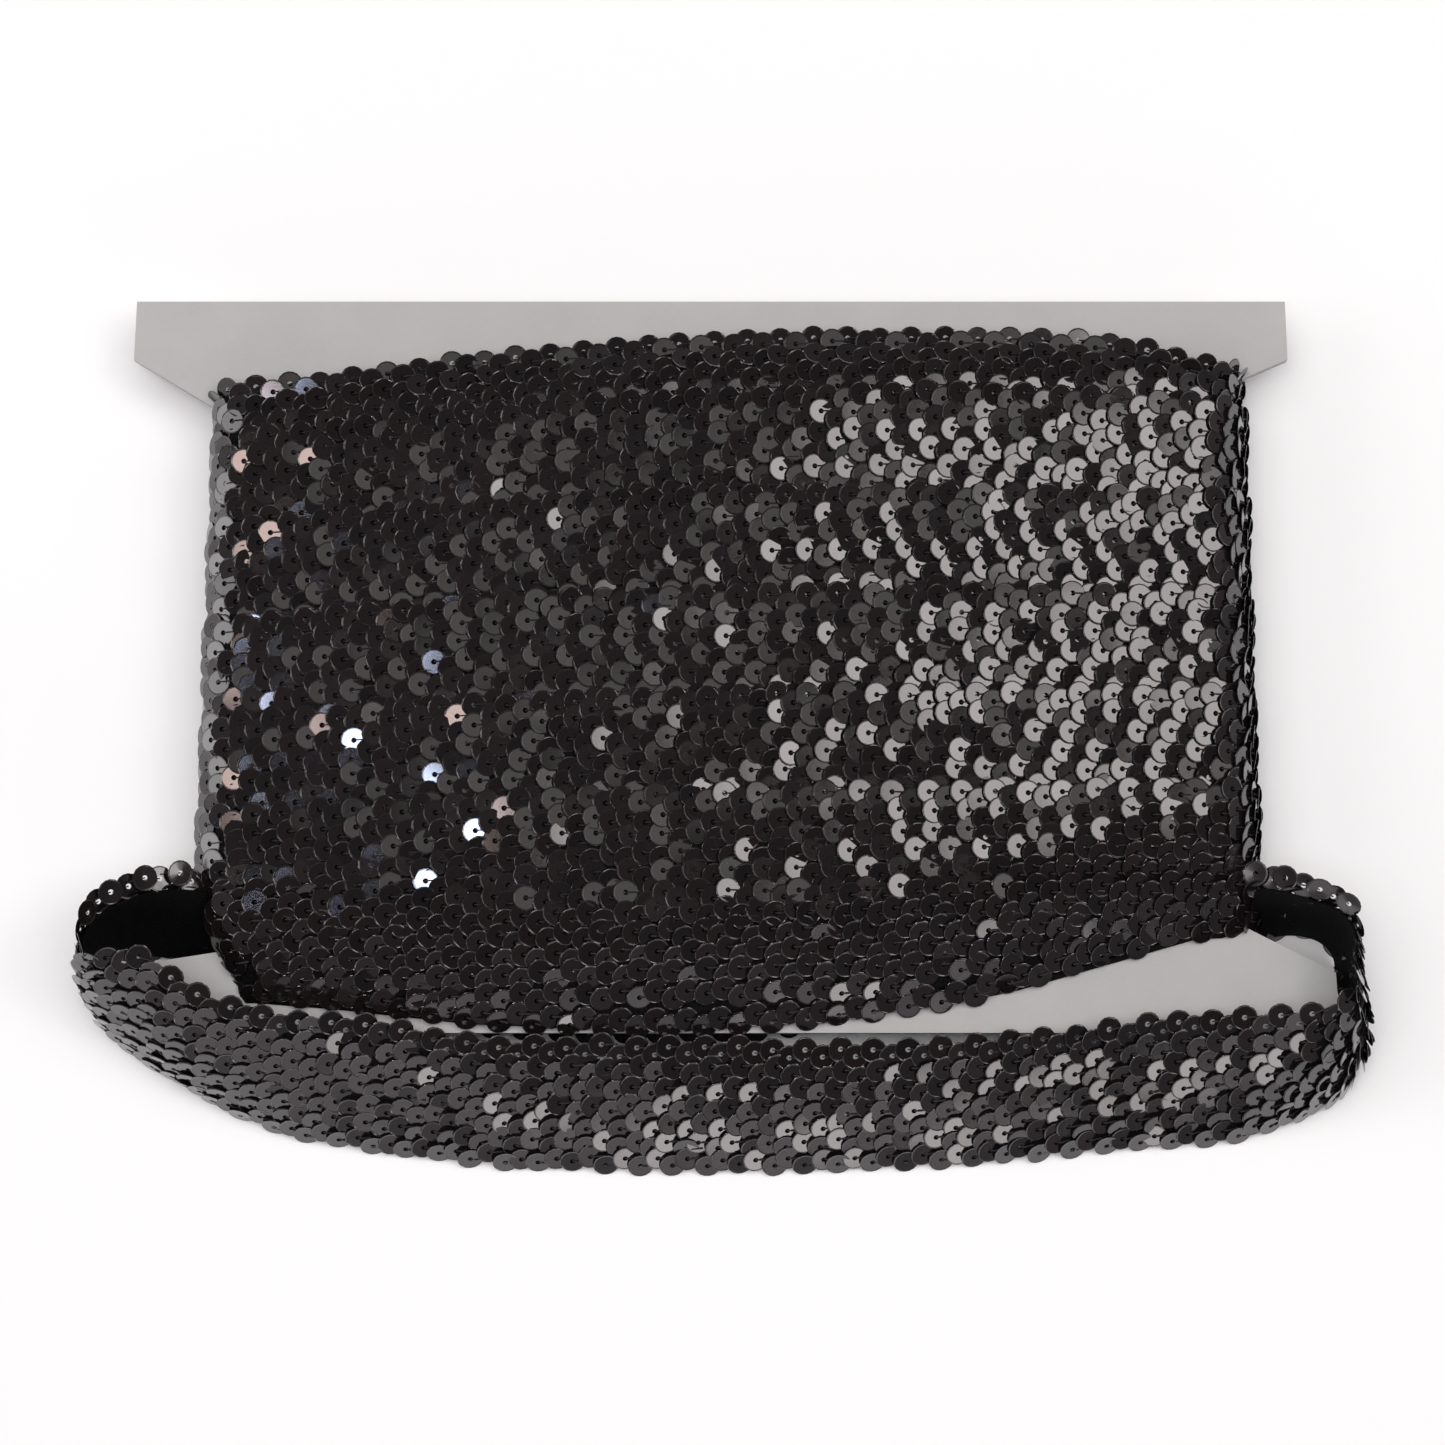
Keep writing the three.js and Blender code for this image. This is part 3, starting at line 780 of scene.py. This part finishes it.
class SEQUIN_OT_stage(bpy.types.Operator):
    """Sets up the floor, the lights and the camera"""

    bl_idname = "sequin.stage"
    bl_label = "Stage"

    def execute(self, context):
        scene = context.scene
        studio = scene.sequin_studio
        middle = Vector((DRAWING_PLACE[0] * MM, DRAWING_PLACE[1] * MM, 0))
        deselect_all()
        bpy.ops.mesh.primitive_plane_add(size=8)
        floor = context.object
        floor.name = "studio_floor"
        floor.data.materials.append(floor_paint(scene.trim_colours))
        tilt = studio.camera_tilt
        away = Vector((0, -math.sin(tilt), math.cos(tilt)))
        bpy.ops.object.camera_add(location=middle + away * studio.camera_distance, rotation=(tilt, 0, 0))
        camera = context.object
        camera.data.sensor_width = SENSOR_WIDTH
        camera.data.lens = SENSOR_WIDTH * studio.camera_distance / studio.photo_scale / studio.photo_points
        camera.data.clip_start = 0.05
        scene.camera = camera
        for name, place, size, brightness, shines, colour in LIGHTS:
            light = self.light(middle, name, place, size, brightness, colour)
            light.visible_glossy = shines
        self.room(scene, studio)
        scene.view_settings.view_transform = "Standard"
        return {"FINISHED"}

    def room(self, scene, studio):
        """A pale room that is darker above, on the right, in front and behind"""
        world = bpy.data.worlds.new("studio_room")
        scene.world = world
        world.use_nodes = True
        nodes, links = world.node_tree.nodes, world.node_tree.links
        place = nodes.new("ShaderNodeTexCoord")
        parts = nodes.new("ShaderNodeSeparateXYZ")
        links.new(place.outputs["Generated"], parts.inputs[0])
        x, y, z = parts.outputs
        up = range_node(nodes, links, z, (0.35, 0.78), (1.0, 0.11))
        right = range_node(nodes, links, x, (0.0, 0.75), (1.0, 0.3))
        front = range_node(nodes, links, y, (-0.75, 0.1), (0.4, 1.0))
        back = range_node(nodes, links, y, (0.25, 0.75), (1.0, 0.3))
        ends = math_node(nodes, links, "MULTIPLY", front, back)
        walls = math_node(nodes, links, "MULTIPLY", right, ends)
        shade = math_node(nodes, links, "MULTIPLY", up, walls)
        strength = math_node(nodes, links, "MULTIPLY", shade, studio.world_light)
        background = nodes["Background"]
        background.inputs["Color"].default_value = (1.0, 0.93, 0.985, 1)
        links.new(strength, background.inputs["Strength"])

    def light(self, middle, name, place, size, brightness, colour):
        """One flat light that faces the card's middle and looks as bright at any size"""
        bpy.ops.object.light_add(type="AREA", location=middle + Vector(place))
        light = bpy.context.object
        light.name = name
        light.data.shape = "RECTANGLE"
        light.data.size, light.data.size_y = size
        light.data.energy = brightness * math.pi * size[0] * size[1]
        light.data.color = colour
        light.rotation_euler = Vector(place).to_track_quat("Z", "Y").to_euler()
        return light


class SEQUIN_OT_card(bpy.types.Operator):
    """Gives the card its grey board"""

    bl_idname = "sequin.card"
    bl_label = "Card"

    def execute(self, context):
        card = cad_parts["winding_card"]
        card.data.materials.clear()
        card.data.materials.append(card_board(context.scene.trim_colours))
        return {"FINISHED"}


class SEQUIN_OT_wound_cloth(bpy.types.Operator):
    """Makes the cloth body of the wound turns, just under their sequins"""

    bl_idname = "sequin.wound_cloth"
    bl_label = "Wound cloth"

    def execute(self, context):
        deselect_all()
        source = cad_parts["wound_trim"]
        cloth = source.copy()
        cloth.data = source.data.copy()
        cloth.name = "wound_cloth"
        cloth.data.name = "wound_cloth"
        cloth.parent = None
        for key in list(cloth.keys()):
            if key.startswith("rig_"):
                del cloth[key]
        context.scene.collection.objects.link(cloth)
        only(cloth)
        bpy.ops.object.mode_set(mode="EDIT")
        bpy.ops.mesh.select_all(action="SELECT")
        bpy.ops.mesh.remove_doubles(threshold=1e-6)
        bpy.ops.object.mode_set(mode="OBJECT")
        low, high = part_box("winding_card")
        near = SLOT_HEIGHT_MARGIN * MM
        slot_left = (WAIST_LEFT - SLOT_END_MARGIN + DRAWING_PLACE[0]) * MM
        slot_right = (WAIST_RIGHT + SLOT_END_MARGIN + DRAWING_PLACE[0]) * MM
        for vertex in cloth.data.vertices:
            in_slot = low.z - near < vertex.co.z < high.z + near and slot_left < vertex.co.x < slot_right
            vertex.select = not in_slot
        for edge in cloth.data.edges:
            edge.select = False
        for face in cloth.data.polygons:
            face.select = all(cloth.data.vertices[v].select for v in face.vertices)
        bpy.ops.object.mode_set(mode="EDIT")
        bpy.ops.transform.shrink_fatten(value=-WOUND_CLOTH_DEPTH * MM)
        bpy.ops.object.mode_set(mode="OBJECT")
        bpy.ops.object.shade_smooth_by_angle(angle=math.radians(40))
        cloth.data.materials.clear()
        cloth.data.materials.append(mesh_cloth(context.scene.trim_colours, False))
        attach(cloth, "root")
        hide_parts("wound_trim")
        return {"FINISHED"}


class SEQUIN_OT_wound_sequins(bpy.types.Operator):
    """Sews sequins in rows round each wound turn"""

    bl_idname = "sequin.wound_sequins"
    bl_label = "Wound sequins"

    def execute(self, context):
        sizes = context.scene.sequin_sizes
        random = np.random.default_rng(SEED)
        shape = model_sequin(sizes)
        stitch = model_stitch(sizes)
        film = shared_material("sequin_film", lambda: sequin_film(context.scene.trim_colours))
        thread = shared_material("sewing_thread", lambda: sewing_thread(context.scene.trim_colours))
        all_centres = []
        all_turns = []
        for turn in range(TURNS):
            centres, turns = self.turn_places(turn, sizes, random)
            bends = random.normal(0, BEND_SPREAD, len(centres)) * MM
            joined_copies(f"wound_sequins_{turn + 1}", shape, centres, turns, bends, random, film)
            all_centres.append(centres)
            all_turns.append(turns)
        centres = np.vstack(all_centres)
        turns = np.vstack(all_turns)
        joined_copies("wound_stitches", stitch, centres, turns, None, random, thread)
        return {"FINISHED"}

    def turn_places(self, turn, sizes, random):
        """The places and turns of all the sequins of one wound turn, with a row of its own along the foot"""
        centres = []
        turns = []
        pitch = sizes.row_pitch / MM
        distance = OUTLINE_MARGIN if turn == 0 else TURN_MARGIN
        lean = (0.0, math.radians(OUTLINE_LEAN) if turn == 0 else 0.0)
        while True:
            path, shown = wound_path(turn, distance)
            down_path, _ = wound_path(turn, distance + ROW_STEP)
            if turn == TURNS - 1:
                shown = shown & (path[:, 1] > seam_y(TURNS, path[:, 0]) + FOOT_MARGIN + FOOT_ROW_GAP)
            if not shown.any():
                break
            row_centres, row_turns = lay_row(path, down_path, shown, True, sizes, random, lean)
            centres.append(to_metres(row_centres))
            turns.append(row_turns)
            distance += pitch
            lean = (0.0, 0.0)
        if turn == TURNS - 1:
            path, shown = wound_path(turn, FOOT_MARGIN, from_foot=True)
            down_path, _ = wound_path(turn, FOOT_MARGIN - ROW_STEP, from_foot=True)
            row_centres, row_turns = lay_row(path, down_path, shown, True, sizes, random)
            centres.append(to_metres(row_centres))
            turns.append(row_turns)
        return np.vstack(centres), np.vstack(turns)


class SEQUIN_OT_slack_turn(bpy.types.Operator):
    """Makes the slack turn: its mesh cloth, sequins and stitches"""

    bl_idname = "sequin.slack_turn"
    bl_label = "Slack turn"

    def execute(self, context):
        sizes = context.scene.sequin_sizes
        colours = context.scene.trim_colours
        random = np.random.default_rng(SEED + 1)
        self.cloth(context, colours)
        shape = model_sequin(sizes)
        stitch = model_stitch(sizes)
        film = shared_material("sequin_film", lambda: sequin_film(colours))
        thread = shared_material("sewing_thread", lambda: sewing_thread(colours))
        centres, turns = self.places(sizes, random)
        bends = random.normal(0, BEND_SPREAD, len(centres)) * MM
        joined_copies("slack_sequins", shape, centres, turns, bends, random, film)
        joined_copies("slack_stitches", stitch, centres, turns, None, random, thread)
        return {"FINISHED"}

    def cloth(self, context, colours):
        """The mesh cloth: a grid laid along the slack turn and thickened"""
        long_steps, cross_steps = CLOTH_STEPS
        deselect_all()
        bpy.ops.mesh.primitive_grid_add(x_subdivisions=long_steps, y_subdivisions=cross_steps, size=2)
        cloth = context.object
        cloth.name = "slack_cloth"
        cloth.data.name = "slack_cloth"
        points = np.array([v.co[:] for v in cloth.data.vertices])
        along = (points[:, 0] + 1) / 2 * CLOTH_LENGTH + CLOTH_START
        across = (points[:, 1] + 1) / 2 * (CLOTH_UPPER - CLOTH_LOWER) + CLOTH_LOWER
        placed, outward = slack_place(along, across)
        placed = placed - outward * CLOTH_DEPTH
        placed[:, 2] = np.maximum(placed[:, 2], CLOTH_LOWEST)
        cloth.data.vertices.foreach_set("co", to_metres(placed).ravel())
        cloth.data.update()
        solid = cloth.modifiers.new("cloth_thickness", "SOLIDIFY")
        solid.thickness = CLOTH_THICKNESS * MM
        solid.offset = 0
        only(cloth)
        bpy.ops.object.modifier_apply(modifier="cloth_thickness")
        bpy.ops.object.mode_set(mode="EDIT")
        bpy.ops.mesh.select_all(action="SELECT")
        bpy.ops.mesh.normals_make_consistent(inside=False)
        bpy.ops.object.mode_set(mode="OBJECT")
        bpy.ops.object.shade_smooth_by_angle(angle=math.radians(50))
        cloth.data.materials.append(mesh_cloth(colours, True))
        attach(cloth, "root")
        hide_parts("loose_turn")

    def places(self, sizes, random):
        """The places and turns of the slack turn's sequins, from its upper row to the lowest"""
        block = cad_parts["wound_trim"]
        tree = BVHTree.FromPolygons(
            [v.co[:] for v in block.data.vertices], [tuple(p.vertices) for p in block.data.polygons])
        centres = []
        turns = []
        along = np.linspace(0, 1, SLACK_STEPS)
        for row in range(SLACK_ROWS):
            across = np.full(len(along), FIRST_ROW + (LAST_ROW - FIRST_ROW) * row / (SLACK_ROWS - 1))
            path, _ = slack_place(along, across)
            down_path, _ = slack_place(along, across - SLACK_ACROSS_STEP)
            outward = unit(np.cross(down_path - path, np.gradient(path, axis=0)))
            flop = np.radians(np.interp(along, FLOP_SHARE, FLOP_LEAN)) * (row == 0)
            lifted = outward * (SLACK_ROW_LIFT + FLOP_REACH * np.sin(flop))[:, None]
            path = path + lifted
            down_path = down_path + lifted
            shown = np.array([
                END_SHARES[0] < share < END_SHARES[1] or self.is_outside(tree, Vector(point))
                for share, point in zip(along, to_metres(path))])
            bend = np.radians(np.interp(along, BEND_SHARE, BEND_LEAN))
            row_centres, row_turns = lay_row(path, down_path, shown, False, sizes, random, (bend, flop))
            centres.append(to_metres(row_centres))
            turns.append(row_turns)
        return np.vstack(centres), np.vstack(turns)

    def is_outside(self, tree, point):
        """Whether a point is outside the wound form, or hardly inside it"""
        place, normal, _, _ = tree.find_nearest(point)
        return (point - place).dot(normal) > -END_SINK * MM


class SEQUIN_PT_panel(bpy.types.Panel):
    """Lists the pieces of the trim"""

    bl_label = "Sequin trim"
    bl_idname = "SEQUIN_PT_panel"
    bl_space_type = "VIEW_3D"
    bl_region_type = "UI"
    bl_category = "Sequin trim"

    def draw(self, context):
        for operator in OPERATORS:
            self.layout.operator(operator.bl_idname)
        for group in ("sequin_sizes", "trim_colours", "sequin_studio"):
            box = self.layout.box()
            settings = getattr(context.scene, group)
            for name in settings.__annotations__:
                box.prop(settings, name)


OPERATORS = (
    SEQUIN_OT_stage,
    SEQUIN_OT_card,
    SEQUIN_OT_wound_cloth,
    SEQUIN_OT_wound_sequins,
    SEQUIN_OT_slack_turn,
)
CLASSES = (SequinSizes, TrimColours, StudioSizes, *OPERATORS, SEQUIN_PT_panel)


def register():
    for cls in CLASSES:
        bpy.utils.register_class(cls)
    bpy.types.Scene.sequin_sizes = PointerProperty(type=SequinSizes)
    bpy.types.Scene.trim_colours = PointerProperty(type=TrimColours)
    bpy.types.Scene.sequin_studio = PointerProperty(type=StudioSizes)


def unregister():
    del bpy.types.Scene.sequin_sizes
    del bpy.types.Scene.trim_colours
    del bpy.types.Scene.sequin_studio
    for cls in reversed(CLASSES):
        bpy.utils.unregister_class(cls)


def main():
    register()
    bpy.ops.sequin.stage()
    bpy.ops.sequin.card()
    bpy.ops.sequin.wound_cloth()
    bpy.ops.sequin.wound_sequins()
    bpy.ops.sequin.slack_turn()


if __name__ == "__main__":
    main()
